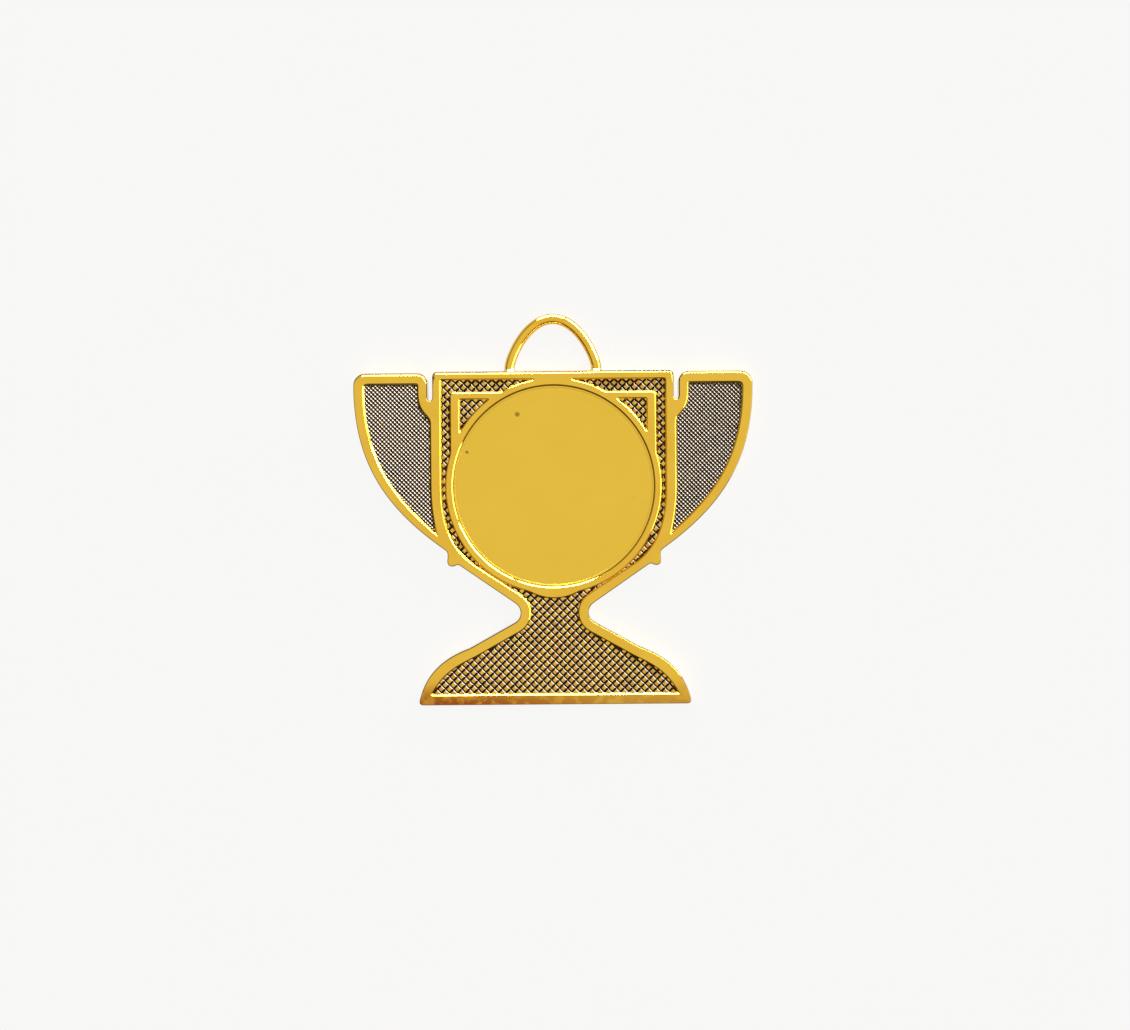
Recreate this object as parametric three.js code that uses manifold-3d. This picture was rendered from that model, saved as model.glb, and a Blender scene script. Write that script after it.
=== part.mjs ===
// A cup-shaped prize medal: a die-cast plate in the outline of a two-handled cup, with a wire ribbon
// loop soldered into its top edge and a pressed metal disc bonded into its round recess.
//
// Millimetres. The medal lies on its flat back: Z is up out of the decorated front, Y runs from the base
// of the cup to the ribbon loop, X runs across both handles. Outlines are drawn with y = 0 on the base
// line and x = 0 on the centre line. The exported group is then lowered along Y, so that the origin is the
// middle of the whole outline, on the plane of the back.

import * as THREE from 'three';
import { mergeVertices } from 'three/addons/utils/BufferGeometryUtils.js';
import Module from 'manifold-3d';

const wasm = await Module();
wasm.setup();

// ---- Driving dimensions -------------------------------------------------------------------------

// plate
const halfWidth = 25;             // centre line to the outside of a handle
const cupHeight = 41.75;          // base line to the top edge of the cup
const thickness = 2.5;            // back to the top of the rims
const edgeBevelWidth = 0.3;       // drafted front edge of the outline, seen from the front
const edgeBevelHeight = 0.3;

// sunk fields and the rims left round them
const fieldDepth = 0.35;          // top of the rims to the floor of a field
const wallDraft = 0.2;            // how far a wall leans in over the depth of a field
const topRim = 0.9;
const cupWall = 0.9;
const handleTopRim = 1.25;
const handleSideRim = 1.15;
const lowerRim = 1.15;            // along the bowl, the neck and the base
const baseRim = 1.2;              // along the base line

// cup mouth, and the slot that parts each handle from it
const cupHalfWidth = 15.1;
const cupCorner = 0.5;
const slotWidth = 0.65;
const slotDepth = 3.7;
const slotRim = 1.05;             // metal between the slot and the handle's field
const slotWeb = 2.65;             // metal below the slot, where the handle's field widens

// handles
const handleDrop = 0.15;          // how far their top edge lies below the cup's
const handleInnerCorner = 1.2;
const handleOuterCorner = 1.5;
const handleFieldCorner = 0.5;
const handleFootX = 13.35;        // where the handle's outer curve meets the bowl
const handleFootDrop = 22.55;     // from the top edge of the cup
const handleTopPull = 9.6;        // how long the outer curve stays upright below its top corner
const handleFootPull = [7.85, 5.45]; // which way, and how far, it leaves its foot
const fieldTip = [1.1, 1.8];      // from the foot to the lower tip of the handle's field
const fieldTipPull = [5.3, 4.6];
const nubLength = 1.75;           // the small nub below the foot
const nubBulge = 0.3;             // how far its outer side stands out, and its end hooks in
const nubHook = 0.5;

// bowl, neck and base
const bowlX = 12.1;               // where the bowl starts, inside the nub
const bowlDrop = 24.1;
const bowlAngle = 33;             // degrees to the horizontal where the bowl runs into the neck
const cheekPull = [3.3, 2.2];     // round of the cup's field where its side turns into the bowl
const cheekFoot = [2.1, 0.25];    // from the start of the bowl to the end of that round
const cheekDrop = 4.2;
const neckHalfWidth = 4.25;
const neckRadius = 1.4;
const neckHeight = 11.5;
const baseAngle = 26.5;           // degrees to the horizontal of the slope of the base
const shoulderX = 10.5;           // where that slope turns down to the end of the base line
const shoulderHeight = 7.2;
const shoulderPull = [3.1, 1.2];
const baseHalfWidth = 17.05;
const basePull = [0.9, 4];
const baseCorner = 0.4;
const baseFieldPull = [1.4, 2.6];
const baseFieldShoulder = [2.4, 2.4];
const baseEndRim = 1.35;          // metal beyond the end of the base's field

// ring, ribs and keel in the cup's field
const ringDrop = 14.4;            // top edge of the cup to the centre of the ring
const recessRadius = 12.8;
const ringWidth = 0.6;
const recessDepth = 1.0;
const ribX = 12.75;               // outer edge of the corner ribs
const ribDrop = 2.75;             // top edge of the cup to the corner ribs
const ribSideWidth = 0.9;
const ribTopWidth = 0.6;
const windowWidth = 3.95;         // the small field inside a corner rib
const windowHeight = 4.4;
const keelRadius = 6;
const keelReach = 0.5;            // how far the keel hangs below the ring
const bridgeHalfWidth = 2.25;     // where the ring runs into the top rim

// bonded disc
const discClearance = 0.2;        // round the disc, in the recess
const adhesiveMargin = 1.5;       // the adhesive stops this far inside the disc
const adhesiveThickness = 0.1;
const discThickness = 0.3;
const lipHeight = 0.3;
const lipWidth = 0.35;

// ribbon loop
const wireDiameter = 1.3;
const loopHalfSpan = 5.45;        // centre line of the wire at its feet
const loopRise = 6.65;            // top edge of the cup to the centre of the wire at the crown
const legStraight = 0.6;          // straight stretch of each leg above the edge
const archLean = 1.5;             // 1 makes the arch half an ellipse, more makes its sides lean in
const pegDepth = 1.5;             // length of each leg inside the plate
const pegClearance = 0.03;
const solderReach = 0.3;          // how far the solder spreads round a leg
const solderHeight = 0.55;

// fineness of the faceted curves
const mostSteps = 16;             // most and fewest steps round one curve, and the length of a step
const fewestSteps = 6;
const stepLength = 1.2;
const roundSteps = 72;
const archSteps = 32;
const wireSteps = 64;
const wireSides = 16;
const collarSides = 20;

// ---- Sizes that follow from them ----------------------------------------------------------------

const degrees = Math.PI / 180;
const handleTop = cupHeight - handleDrop;
const footY = cupHeight - handleFootDrop;
const slotBottom = cupHeight - slotDepth;
const slotOuterX = cupHalfWidth + slotWidth;
const floorZ = thickness - fieldDepth;
const bandX = cupHalfWidth - cupWall;
const ringCentre = cupHeight - ringDrop;
const ringRadius = recessRadius + ringWidth;
const ribTop = cupHeight - ribDrop;
const recessFloorZ = thickness - recessDepth;
const discRadius = recessRadius - discClearance;
const wireRadius = wireDiameter / 2;
const loopZ = floorZ / 2;
const overallHeight = cupHeight + loopRise + wireRadius;
const through = 5;                // how far a cutter stands clear of what it cuts

// ---- Solids: extruding, joining and cutting ------------------------------------------------------

/** A manifold solid of a closed three.js geometry. */
function solidOf(geometry) {
  const bare = geometry.index ? geometry.toNonIndexed() : geometry.clone();
  bare.deleteAttribute('normal');
  bare.deleteAttribute('uv');
  const merged = mergeVertices(bare, 1e-5);
  const vertProperties = merged.attributes.position.array;
  const triVerts = new Uint32Array(merged.index.array);
  return new wasm.Manifold(new wasm.Mesh({ numProp: 3, vertProperties, triVerts }));
}

/** A three.js geometry of a manifold solid. */
function geometryOf(solid) {
  const mesh = solid.getMesh();
  const geometry = new THREE.BufferGeometry();
  geometry.setAttribute('position', new THREE.BufferAttribute(mesh.vertProperties, 3));
  geometry.setIndex(new THREE.BufferAttribute(mesh.triVerts, 1));
  return geometry;
}

/**
 * A prism `through` high whose two ends taper over `taper`: its outline moves by `offset` all the way and
 * by `swell` more between the ends. It stands with its straight part starting at `bottom`.
 */
function taperedPrism(points, bottom, taper, offset, swell) {
  const geometry = new THREE.ExtrudeGeometry(new THREE.Shape(points), {
    depth: through,
    bevelEnabled: true,
    bevelThickness: taper,
    bevelSize: swell,
    bevelOffset: offset,
    bevelSegments: 1,
  });
  return solidOf(geometry.translate(0, 0, bottom));
}

/** A cutter for a sunk field: its outline at the top of the rims, its walls leaning in to the floor. */
function fieldCutter(points) {
  return taperedPrism(points, thickness, fieldDepth, -wallDraft, wallDraft);
}

/** A raised island in a field: its outline at the top of the rims, its walls leaning out to the floor. */
function island(points) {
  return taperedPrism(points, floorZ - through, fieldDepth, 0, wallDraft);
}

/** The plate before anything is sunk into it, with its bevelled front edge and its flat back. */
function blank(points) {
  const below = 2 * through;
  const cut = new THREE.BoxGeometry(2 * (halfWidth + through), 2 * (cupHeight + through), below);
  const bottom = thickness - edgeBevelHeight - through;
  return taperedPrism(points, bottom, edgeBevelHeight, -edgeBevelWidth, edgeBevelWidth)
    .subtract(solidOf(cut.translate(0, 0, -below / 2)));
}

/** A flat-bottomed round cutter down to one height. */
function roundCutter(radius, centreY, floor) {
  const geometry = new THREE.CylinderGeometry(radius, radius, through, roundSteps).rotateX(Math.PI / 2);
  return solidOf(geometry.translate(0, centreY, floor + through / 2));
}

/** A round cutter along Y at the wire's height, for the socket of one leg. */
function socketCutter(x) {
  const radius = wireRadius + pegClearance;
  const low = cupHeight - pegDepth - pegClearance;
  const geometry = new THREE.CylinderGeometry(radius, radius, through, wireSides);
  return solidOf(geometry.translate(x, low + through / 2, loopZ));
}

// ---- Outlines -------------------------------------------------------------------------------------

/** Points along a path: the ends of its straight stretches, and even steps round its curves. */
function pointsOf(path) {
  const points = [];
  for (const curve of path.curves) {
    const wanted = Math.ceil(curve.getLength() / stepLength);
    const steps = curve.isLineCurve ? 1 : Math.min(mostSteps, Math.max(fewestSteps, wanted));
    points.push(...curve.getPoints(steps).slice(points.length ? 1 : 0));
  }
  return points;
}

/** The points on the other side of the centre line, in the turning order of the first side. */
function flipped(points) {
  return points.map((point) => new THREE.Vector2(-point.x, point.y)).reverse();
}

/** A closed outline of a right half that runs from the centre line back to the centre line. */
function mirrored(half) {
  return [...half, ...flipped(half.slice(1, -1))];
}

/** A rectangle between two corners. */
function rectangle(left, low, right, high) {
  return [[left, low], [right, low], [right, high], [left, high]].map(([x, y]) => new THREE.Vector2(x, y));
}

/** A full circle on the centre line. */
function circle(centreY, radius) {
  return Array.from({ length: roundSteps }, (_, index) => {
    const angle = (index / roundSteps) * 2 * Math.PI;
    return new THREE.Vector2(radius * Math.cos(angle), centreY + radius * Math.sin(angle));
  });
}

/** A rounded corner, from the end of one straight side towards the next. */
function corner(path, centreX, centreY, radius, from, to) {
  path.absarc(centreX, centreY, radius, from * degrees, to * degrees, from > to);
}

/** The end of the bowl, the neck and the slope of the base, `inset` inside the outline of the plate. */
function lowerSide(path, inset) {
  const centreX = neckHalfWidth + neckRadius;
  const radius = neckRadius + inset;
  const from = 90 + bowlAngle;
  const to = 270 - baseAngle;
  path.lineTo(centreX + radius * Math.cos(from * degrees), neckHeight + radius * Math.sin(from * degrees));
  corner(path, centreX, neckHeight, radius, from, to);
  path.lineTo(
    shoulderX - inset * Math.sin(baseAngle * degrees),
    shoulderHeight - inset * Math.cos(baseAngle * degrees),
  );
}

/** The outside of the whole plate: the cup with its slots, handles, nubs, bowl, neck and base. */
function plateOutline() {
  const slotEnd = slotWidth / 2;
  const innerX = slotOuterX + handleInnerCorner;
  const innerY = handleTop - handleInnerCorner;
  const outerX = halfWidth - handleOuterCorner;
  const outerY = handleTop - handleOuterCorner;
  const path = new THREE.Path();
  path.moveTo(0, cupHeight);
  path.lineTo(cupHalfWidth - cupCorner, cupHeight);
  corner(path, cupHalfWidth - cupCorner, cupHeight - cupCorner, cupCorner, 90, 0);
  path.lineTo(cupHalfWidth, slotBottom + slotEnd);
  corner(path, cupHalfWidth + slotEnd, slotBottom + slotEnd, slotEnd, 180, 360);
  path.lineTo(slotOuterX, innerY);
  corner(path, innerX, innerY, handleInnerCorner, 180, 90);
  path.lineTo(outerX, handleTop);
  corner(path, outerX, outerY, handleOuterCorner, 90, 0);
  path.bezierCurveTo(halfWidth, outerY - handleTopPull,
    handleFootX + handleFootPull[0], footY + handleFootPull[1], handleFootX, footY);
  path.lineTo(handleFootX, footY - nubLength / 2);
  path.bezierCurveTo(handleFootX + nubBulge, footY - nubLength,
    handleFootX - nubHook, footY - nubLength - nubHook, bowlX, cupHeight - bowlDrop);
  lowerSide(path, 0);
  path.bezierCurveTo(shoulderX + shoulderPull[0], shoulderHeight - shoulderPull[1],
    baseHalfWidth - basePull[0], baseCorner + basePull[1], baseHalfWidth, baseCorner);
  path.quadraticCurveTo(baseHalfWidth, 0, baseHalfWidth - baseCorner, 0);
  path.lineTo(0, 0);
  return mirrored(pointsOf(path));
}

/** The cup's field, which runs on down the stem and over the base. */
function cupFieldOutline() {
  const cheekX = bowlX - cheekFoot[0];
  const cheekY = cupHeight - bowlDrop - cheekFoot[1];
  const endX = baseHalfWidth - baseEndRim;
  const path = new THREE.Path();
  path.moveTo(0, cupHeight - topRim);
  path.lineTo(bandX, cupHeight - topRim);
  path.lineTo(bandX, ringCentre);
  path.bezierCurveTo(bandX, ringCentre - cheekDrop,
    cheekX + cheekPull[0], cheekY + cheekPull[1], cheekX, cheekY);
  lowerSide(path, lowerRim);
  path.bezierCurveTo(shoulderX + baseFieldShoulder[0], shoulderHeight - baseFieldShoulder[1],
    endX - baseFieldPull[0], baseRim + baseFieldPull[1], endX, baseRim);
  path.lineTo(0, baseRim);
  return mirrored(pointsOf(path));
}

/** The right handle's field, which widens below the slot until only the cup's wall parts them. */
function handleFieldOutline() {
  const outerX = halfWidth - handleSideRim;
  const upperX = slotOuterX + slotRim;
  const lowerX = bandX + slotRim;
  const top = handleTop - handleTopRim;
  const tipX = handleFootX + fieldTip[0];
  const tipY = footY + fieldTip[1];
  const widest = slotBottom - slotWeb;
  const path = new THREE.Path();
  path.moveTo(upperX, top);
  path.lineTo(outerX - handleFieldCorner, top);
  corner(path, outerX - handleFieldCorner, top - handleFieldCorner, handleFieldCorner, 90, 0);
  path.bezierCurveTo(outerX, top - handleFieldCorner - handleTopPull,
    tipX + fieldTipPull[0], tipY + fieldTipPull[1], tipX, tipY);
  path.quadraticCurveTo(lowerX, (tipY + ringCentre) / 2, lowerX, ringCentre);
  path.lineTo(lowerX, widest);
  path.bezierCurveTo(lowerX, widest + slotRim, upperX, widest + slotRim, upperX, slotBottom + slotRim);
  return pointsOf(path);
}

/** The right small field inside a corner rib; the ring takes away its lower inner half. */
function windowOutline() {
  const right = ribX - ribSideWidth;
  const top = ribTop - ribTopWidth;
  return rectangle(right - windowWidth, top - windowHeight, right, top);
}

// ---- Pieces ----------------------------------------------------------------------------------------

/** The die-cast plate with its rims, fields, ring, ribs, keel, recess and sockets. */
function medalBody() {
  const ribFoot = ringCentre + Math.sqrt(Math.max(0, ringRadius ** 2 - ribX ** 2));
  const ring = island(circle(ringCentre, ringRadius));
  const raised = ring
    .add(island(rectangle(-ribX, ribFoot, ribX, ribTop)))
    .add(island(rectangle(-bridgeHalfWidth, ribTop, bridgeHalfWidth, cupHeight)))
    .add(island(circle(ringCentre - ringRadius + keelRadius - keelReach, keelRadius)));
  let plate = blank(plateOutline()).subtract(fieldCutter(cupFieldOutline()).subtract(raised));
  for (const outline of [windowOutline(), flipped(windowOutline())]) {
    plate = plate.subtract(fieldCutter(outline).subtract(ring));
  }
  for (const outline of [handleFieldOutline(), flipped(handleFieldOutline())]) {
    plate = plate.subtract(fieldCutter(outline));
  }
  plate = plate.subtract(roundCutter(recessRadius, ringCentre, recessFloorZ));
  for (const x of [-loopHalfSpan, loopHalfSpan]) {
    plate = plate.subtract(socketCutter(x));
  }
  return geometryOf(plate);
}

/** The wire arch that a ribbon goes through, with both legs pegged into the plate. */
function ribbonLoop() {
  const legFoot = cupHeight - pegDepth;
  const legTop = cupHeight + legStraight;
  const at = (x, y) => new THREE.Vector3(x, y, loopZ);
  const arch = Array.from({ length: archSteps + 1 }, (_, index) => {
    const angle = (index / archSteps) * Math.PI;
    const rise = Math.max(0, Math.sin(angle)) ** archLean;
    return at(loopHalfSpan * Math.cos(angle), legTop + (loopRise - legStraight) * rise);
  });
  const centreLine = new THREE.CurvePath();
  centreLine.add(new THREE.LineCurve3(at(loopHalfSpan, legFoot), at(loopHalfSpan, legTop)));
  centreLine.add(new THREE.CatmullRomCurve3(arch));
  centreLine.add(new THREE.LineCurve3(at(-loopHalfSpan, legTop), at(-loopHalfSpan, legFoot)));
  const section = new THREE.Shape().absarc(0, 0, wireRadius, 0, 2 * Math.PI);
  return new THREE.ExtrudeGeometry(section, {
    steps: wireSteps,
    curveSegments: wireSides / 2,
    extrudePath: centreLine,
  });
}

/** A collar of solder round one leg, with a hollow flank, on the top edge and no lower than the back. */
function solderCollar(x) {
  const bore = wireRadius + pegClearance;
  const reach = Math.min(solderReach, loopZ - bore);
  const profile = [
    [bore, 0],
    [bore + reach, 0],
    [bore + reach * 0.55, solderHeight * 0.2],
    [bore + reach * 0.2, solderHeight * 0.55],
    [bore + reach * 0.1, solderHeight],
    [bore, solderHeight],
    [bore, 0],
  ].map(([radius, height]) => new THREE.Vector2(radius, height));
  return new THREE.LatheGeometry(profile, collarSides).translate(x, cupHeight, loopZ);
}

/** The pressed disc: a flat face inside a thin raised lip. */
function centreDisc() {
  const back = recessFloorZ + adhesiveThickness;
  const face = back + discThickness;
  const lipTop = face + lipHeight;
  const profile = [
    [0, back],
    [discRadius, back],
    [discRadius, lipTop],
    [discRadius - lipWidth, lipTop],
    [discRadius - lipWidth, face],
    [0, face],
  ].map(([radius, height]) => new THREE.Vector2(radius, height));
  return new THREE.LatheGeometry(profile, roundSteps).rotateX(Math.PI / 2).translate(0, ringCentre, 0);
}

/** The pad of adhesive between the disc and the floor of the recess. */
function discAdhesive() {
  const radius = discRadius - adhesiveMargin;
  const geometry = new THREE.CylinderGeometry(radius, radius, adhesiveThickness, roundSteps);
  return geometry.rotateX(Math.PI / 2).translate(0, ringCentre, recessFloorZ + adhesiveThickness / 2);
}

// ---- Finishes and assembly -------------------------------------------------------------------------

const goldPlate = new THREE.MeshStandardMaterial({ color: '#dfb13d', roughness: 0.28, metalness: 1 });
const goldSolder = new THREE.MeshStandardMaterial({ color: '#e6c980', roughness: 0.3, metalness: 1 });
const goldDisc = new THREE.MeshStandardMaterial({ color: '#e2ba3f', roughness: 0.4, metalness: 1 });
const adhesive = new THREE.MeshStandardMaterial({ color: '#d9d4c4', roughness: 0.7, metalness: 0 });

const medal = new THREE.Group();
medal.position.y = -overallHeight / 2;

/** Adds one named piece to the medal. */
function place(name, geometry, material) {
  const mesh = new THREE.Mesh(geometry, material);
  mesh.name = name;
  medal.add(mesh);
}

place('medal_body', medalBody(), goldPlate);
place('ribbon_loop', ribbonLoop(), goldPlate);
place('loop_solder_left', solderCollar(-loopHalfSpan), goldSolder);
place('loop_solder_right', solderCollar(loopHalfSpan), goldSolder);
place('centre_disc', centreDisc(), goldDisc);
place('disc_adhesive', discAdhesive(), adhesive);

export default medal;
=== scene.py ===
"""Looks of a cup-shaped prize medal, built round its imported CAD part.

The die-cast plate, the diamond knurl in its sunk fields, the ribbon loop with its solder, the pressed disc
and its adhesive are each built as a detailed mesh from the sizes and edges of the CAD nodes. Sizes are in
millimetres until a mesh is made, and the finished meshes are in metres, in the frame of the CAD part.
"""

import sys

import logging
import math
from collections.abc import Sequence
from dataclasses import dataclass, field
from enum import Enum

import bmesh
import bpy
import numpy as np
from mathutils import Matrix, Vector
from mathutils.geometry import delaunay_2d_cdt
from mathutils.kdtree import KDTree


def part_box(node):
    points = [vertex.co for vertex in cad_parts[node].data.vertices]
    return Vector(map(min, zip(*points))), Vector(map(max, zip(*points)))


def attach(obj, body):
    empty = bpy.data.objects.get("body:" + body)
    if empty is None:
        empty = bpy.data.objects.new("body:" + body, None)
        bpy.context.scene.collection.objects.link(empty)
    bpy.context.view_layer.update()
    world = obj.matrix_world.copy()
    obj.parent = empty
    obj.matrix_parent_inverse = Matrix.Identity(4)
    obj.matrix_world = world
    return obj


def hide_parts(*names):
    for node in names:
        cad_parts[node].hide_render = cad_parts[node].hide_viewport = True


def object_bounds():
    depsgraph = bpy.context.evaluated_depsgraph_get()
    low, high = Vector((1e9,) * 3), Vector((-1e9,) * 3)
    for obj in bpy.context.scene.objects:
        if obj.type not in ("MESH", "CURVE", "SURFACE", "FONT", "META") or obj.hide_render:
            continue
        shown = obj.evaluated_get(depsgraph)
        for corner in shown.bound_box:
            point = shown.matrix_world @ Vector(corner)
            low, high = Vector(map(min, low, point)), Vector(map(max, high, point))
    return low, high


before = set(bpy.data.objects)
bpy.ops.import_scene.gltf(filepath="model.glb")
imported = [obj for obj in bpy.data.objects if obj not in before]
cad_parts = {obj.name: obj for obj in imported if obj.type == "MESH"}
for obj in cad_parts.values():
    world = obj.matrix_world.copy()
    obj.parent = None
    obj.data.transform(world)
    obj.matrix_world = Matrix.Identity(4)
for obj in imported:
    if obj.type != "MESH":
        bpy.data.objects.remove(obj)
CAD_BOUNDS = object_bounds()

MM = 0.001
LOG = logging.getLogger("medal")
BODY = "root"
# Attribute that places the painted shade line along the plate's edge.
EDGE = "edge"

Colour = tuple[int, int, int]
Face = tuple[int, ...]
Loop = np.ndarray
Profile = list[tuple[float, float]]
Shares = tuple[float, ...]


class Slot(Enum):
    """Material slots."""

    CASTING = "gold_plated_casting"
    WIRE = "gold_plated_wire"
    SOLDER = "gold_plated_solder"
    DISC = "gold_disc"
    ADHESIVE = "adhesive"


class Kind(Enum):
    """Kinds of edge that the plate's front has."""

    OUTLINE = "outline"
    FIELD = "field"
    RECESS = "recess"


# ---- Outlines ----------------------------------------------------------------------------------------


def box_mm(node: str) -> tuple[np.ndarray, np.ndarray]:
    """Lowest and highest corner of a CAD node, in millimetres."""
    low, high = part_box(node)
    return np.array(low) / MM, np.array(high) / MM


def level_loops(node: str, height: float) -> list[Loop]:
    """Closed outlines of the flat facets that a CAD node has at one height.

    Args:
        node: name of the CAD node.
        height: height of the facets, in millimetres.

    Returns:
        One array of points in the plane for each outline, in millimetres.
    """
    tolerance = 0.002
    mesh = bmesh.new()
    mesh.from_mesh(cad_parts[node].data)
    bmesh.ops.scale(mesh, vec=Vector((1 / MM,) * 3), verts=mesh.verts)
    bmesh.ops.remove_doubles(mesh, verts=mesh.verts, dist=tolerance / 4)
    flat = {f for f in mesh.faces if all(abs(v.co.z - height) < tolerance for v in f.verts)}
    following = {}
    for face in (f for f in mesh.faces if f in flat):
        for corner in face.loops:
            across = [f for f in corner.edge.link_faces if f is not face]
            if not any(f in flat for f in across):
                following[corner.vert.index] = corner.link_loop_next.vert.index
    places = {v.index: (v.co.x, v.co.y) for v in mesh.verts}
    mesh.free()
    loops = []
    while following:
        start = next(iter(following))
        chain = [start]
        at = following.pop(start)
        while at != start:
            chain.append(at)
            at = following.pop(at)
        loops.append(np.array([places[i] for i in chain]))
    return loops


def area(loop: Loop) -> float:
    """Signed area inside a closed outline, positive where it runs anticlockwise."""
    after = np.roll(loop, -1, axis=0)
    return float((loop[:, 0] * after[:, 1] - after[:, 0] * loop[:, 1]).sum() / 2)


def anticlockwise(loop: Loop) -> Loop:
    """The same outline, running anticlockwise."""
    return loop if area(loop) > 0 else loop[::-1].copy()


def thinned(loop: Loop, nearest: float) -> Loop:
    """The outline without points that lie nearer than a distance to the one before.

    Args:
        loop: the closed outline.
        nearest: the smallest distance that is kept.

    Returns:
        The thinned outline.
    """
    kept = [loop[0]]
    for point in loop[1:]:
        if np.linalg.norm(point - kept[-1]) > nearest:
            kept.append(point)
    if np.linalg.norm(kept[0] - kept[-1]) <= nearest:
        kept.pop()
    return np.array(kept)


def rounded(loop: Loop, spacing: float, passes: int = 3) -> Loop:
    """A faceted outline made smooth: its curves are curved again, and its corners are eased.

    Args:
        loop: the faceted outline.
        spacing: distance between the points of the result.
        passes: how often each point is averaged with its neighbours, which eases the corners.

    Returns:
        The smooth outline, with evenly spaced points.
    """
    corner = math.cos(math.radians(40))
    long_side = 2.5
    nearest = 0.01
    finer = 4
    loop = thinned(loop, nearest)
    side = np.roll(loop, -1, axis=0) - loop
    length = np.linalg.norm(side, axis=1)
    ahead = side / length[:, None]
    behind, before = np.roll(ahead, 1, axis=0), np.roll(length, 1)
    arriving = behind * length[:, None] + ahead * before[:, None]
    arriving[before > long_side * length] = behind[before > long_side * length]
    arriving[length > long_side * before] = ahead[length > long_side * before]
    leaving = arriving.copy()
    sharp = (behind * ahead).sum(axis=1) < corner
    arriving[sharp] = behind[sharp]
    leaving[sharp] = ahead[sharp]
    arriving /= np.linalg.norm(arriving, axis=1)[:, None]
    leaving /= np.linalg.norm(leaving, axis=1)[:, None]
    fine = []
    for i in range(len(loop)):
        j = (i + 1) % len(loop)
        t = np.linspace(0, 1, max(2, math.ceil(length[i] / spacing * finer)), endpoint=False)[:, None]
        fine.append(
            (2 * t**3 - 3 * t**2 + 1) * loop[i]
            + (t**3 - 2 * t**2 + t) * leaving[i] * length[i]
            + (3 * t**2 - 2 * t**3) * loop[j]
            + (t**3 - t**2) * arriving[j] * length[i]
        )
    even = evenly(np.concatenate(fine), spacing)
    for _ in range(passes):
        even = (np.roll(even, 1, axis=0) + 2 * even + np.roll(even, -1, axis=0)) / 4
    return even


def evenly(loop: Loop, spacing: float) -> Loop:
    """A closed outline resampled at an even spacing.

    Args:
        loop: the closed outline.
        spacing: distance between its points.

    Returns:
        The outline with its new points.
    """
    closed = np.vstack([loop, loop[:1]])
    along = np.concatenate([[0], np.cumsum(np.linalg.norm(np.diff(closed, axis=0), axis=1))])
    count = max(8, round(along[-1] / spacing))
    at = np.linspace(0, along[-1], count, endpoint=False)
    return np.stack([np.interp(at, along, closed[:, axis]) for axis in (0, 1)], axis=1)


def inward(loop: Loop) -> np.ndarray:
    """Unit normals of an anticlockwise outline, pointing to its inside.

    Args:
        loop: the closed outline.

    Returns:
        One unit normal for each point.
    """
    along = np.roll(loop, -1, axis=0) - np.roll(loop, 1, axis=0)
    normal = np.stack([-along[:, 1], along[:, 0]], axis=1)
    return normal / np.linalg.norm(normal, axis=1)[:, None]


def inside(points: np.ndarray, loop: Loop) -> np.ndarray:
    """Which points lie inside a closed outline.

    Args:
        points: places in the plane.
        loop: the closed outline.

    Returns:
        True for each point that lies inside.
    """
    found = np.zeros(len(points), bool)
    after = np.roll(loop, -1, axis=0)
    for (x0, y0), (x1, y1) in zip(loop, after):
        if y0 == y1:
            continue
        crosses = (points[:, 1] >= min(y0, y1)) & (points[:, 1] < max(y0, y1))
        found ^= crosses & (points[:, 0] < x0 + (points[:, 1] - y0) * (x1 - x0) / (y1 - y0))
    return found


def plane_tree(points: np.ndarray) -> KDTree:
    """A search tree of points in the plane.

    Args:
        points: places in the plane.

    Returns:
        The tree, ready to be searched.
    """
    tree = KDTree(len(points))
    for index, (x, y) in enumerate(points):
        tree.insert((x, y, 0), index)
    tree.balance()
    return tree


def nearest_in(tree: KDTree, points: np.ndarray) -> list[int]:
    """Number of the tree's point that lies nearest to each point."""
    return [tree.find((x, y, 0))[1] for x, y in points]


class Edges:
    """A set of closed outlines that distances are measured to."""

    def __init__(self, loops: list[Loop]) -> None:
        """Keeps the outlines' points and the two sides that meet at each.

        Args:
            loops: the closed outlines.
        """
        self.points = np.concatenate(loops)
        self.before = np.concatenate([np.roll(loop, 1, axis=0) for loop in loops])
        self.after = np.concatenate([np.roll(loop, -1, axis=0) for loop in loops])
        self.tree = plane_tree(self.points)

    def distance(self, points: np.ndarray) -> np.ndarray:
        """Distance from each point to the nearest outline.

        Args:
            points: places in the plane.

        Returns:
            The distances.
        """
        nearest = np.array(nearest_in(self.tree, points))
        start = self.points[nearest]
        found = []
        for end in (self.before[nearest], self.after[nearest]):
            side = end - start
            share = ((points - start) * side).sum(axis=1) / np.maximum((side**2).sum(axis=1), 1e-12)
            found.append(np.linalg.norm(points - start - np.clip(share, 0, 1)[:, None] * side, axis=1))
        return np.minimum(*found)


def bank(share: np.ndarray, ease: float = 0.2) -> np.ndarray:
    """A slope from 0 to 1 that is straight in the middle and rounded at both ends.

    Args:
        share: how far along the slope, from 0 to 1.
        ease: the part of the slope that each rounded end takes.

    Returns:
        How far down the slope.
    """
    t = np.clip(share, 0, 1)
    steep = 1 / (1 - ease)
    low = steep * t**2 / (2 * ease)
    high = 1 - steep * (1 - t) ** 2 / (2 * ease)
    middle = steep * (t - ease / 2)
    return np.where(t < ease, low, np.where(t > 1 - ease, high, middle))


# ---- Meshes ------------------------------------------------------------------------------------------


def linked(name: str, data: bpy.types.ID | None) -> bpy.types.Object:
    """A new object of the scene, at the origin.

    Args:
        name: name of the object.
        data: its mesh, light or camera.

    Returns:
        The object.
    """
    made = bpy.data.objects.new(name, data)
    bpy.context.scene.collection.objects.link(made)
    return made


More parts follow.
